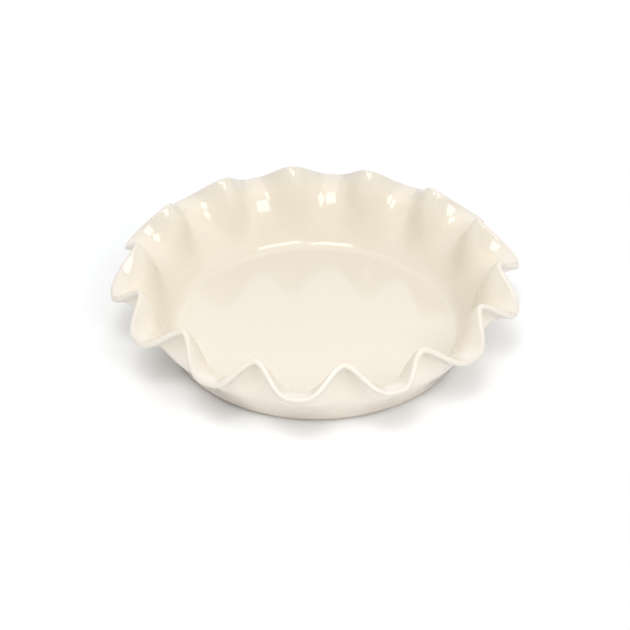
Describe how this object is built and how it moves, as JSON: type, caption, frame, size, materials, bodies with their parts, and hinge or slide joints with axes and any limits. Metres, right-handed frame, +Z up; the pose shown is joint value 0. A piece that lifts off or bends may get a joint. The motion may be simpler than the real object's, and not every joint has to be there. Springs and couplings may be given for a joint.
{
  "type": "clafoutis dish",
  "caption": "Round open baking dish with a flat floor, a sloping wall, a ruffled and flared lip and a low foot ring, glazed all over but for the dry foot.",
  "frame": {"origin": "middle of the plane that the foot ring rests on", "axes": "+Z up, out of the open mouth; -Y towards the front of the picture; +X to its right"},
  "size_m": [0.2912, 0.2915, 0.0674],
  "materials": {
    "clay": "dry fired stoneware, buff, fine grained",
    "glaze": "glossy ivory glaze, smooth, slightly thinner on the lip"
  },
  "bodies": {
    "root": {"clay_body": "clay", "glaze_coat": "glaze", "base_glaze": "glaze"}
  },
  "joints": []
}
